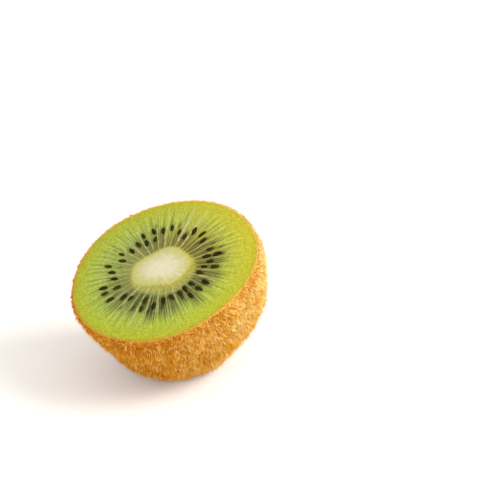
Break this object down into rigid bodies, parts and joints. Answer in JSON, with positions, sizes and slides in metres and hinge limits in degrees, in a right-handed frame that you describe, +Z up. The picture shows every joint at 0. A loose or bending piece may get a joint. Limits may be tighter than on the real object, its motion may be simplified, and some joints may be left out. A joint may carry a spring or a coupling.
{
  "type": "kiwi fruit half",
  "caption": "Half a kiwi fruit, cut across its middle and resting on its furry skin: green flesh, pale core and a ring of dark seeds on a face that leans up.",
  "frame": {"origin": "middle of the small flat spot that the fruit rests on", "axes": "+Z up from the surface it rests on; the cut face leans 25 degrees from level, down towards -X and -Y"},
  "size_m": [0.0521, 0.0503, 0.0431],
  "materials": {
    "skin": "dry, dull, covered with short golden-brown fuzz",
    "flesh": "moist and slightly glossy, let through by light",
    "core": "moist, pale and soft",
    "seeds_and_tuft": "dark brown; the tuft is dried and dull, the seeds are smooth"
  },
  "bodies": {
    "root": {"skin": "skin", "flesh": "flesh", "core": "core", "blossom_tuft": "seeds_and_tuft"}
  },
  "joints": []
}
